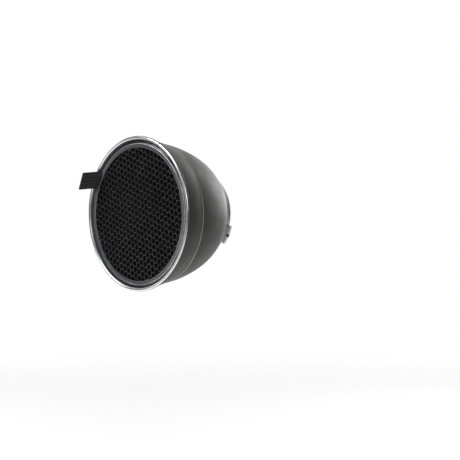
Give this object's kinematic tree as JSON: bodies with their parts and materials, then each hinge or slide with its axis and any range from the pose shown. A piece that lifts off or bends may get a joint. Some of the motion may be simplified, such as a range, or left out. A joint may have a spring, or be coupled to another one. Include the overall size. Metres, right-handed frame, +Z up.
{
  "type": "honeycomb grid reflector",
  "caption": "Round black metal studio reflector with a black honeycomb grid, an aluminium grid ring and a webbing pull tab in its mouth, and a bayonet ring behind.",
  "frame": {"origin": "centre of the bayonet ring's seating face, on the reflector's axis", "axes": "+Y along the axis out of the back towards the flash head, -Y out of the mouth, +Z up"},
  "size_m": [0.18, 0.1309, 0.18],
  "materials": {
    "shell_paint": "matt black outside, satin silver inside and round the rolled rim",
    "cast_aluminium": "fine cast satin",
    "rivet_metal": "plain zinc",
    "grid_aluminium": "satin with light handling marks",
    "black_foil": "matt black foil",
    "spring_steel": "bright rolled strip",
    "webbing": "black woven webbing"
  },
  "bodies": {
    "reflector": {"reflector_shell": "shell_paint", "bayonet_ring": "cast_aluminium", "ring_rivets": "rivet_metal"},
    "grid": {"grid_frame": "grid_aluminium", "honeycomb_core": "black_foil", "seam_spring": "spring_steel", "spring_rivets": "rivet_metal", "tab_root": "webbing", "tab_rivets": "rivet_metal"},
    "tab": {"tab_flap": "webbing"}
  },
  "joints": [
    {"name": "grid_slide", "type": "slide", "parent": "reflector", "child": "grid", "axis": [0, -1, 0], "range_m": [0, 0.06]},
    {"name": "tab_fold", "type": "hinge", "parent": "grid", "child": "tab", "pos_m": [-0.07241, -0.09589, 0.04028], "axis": [-0.4917, 0.0958, -0.8655], "range_deg": [-55, 45]}
  ]
}
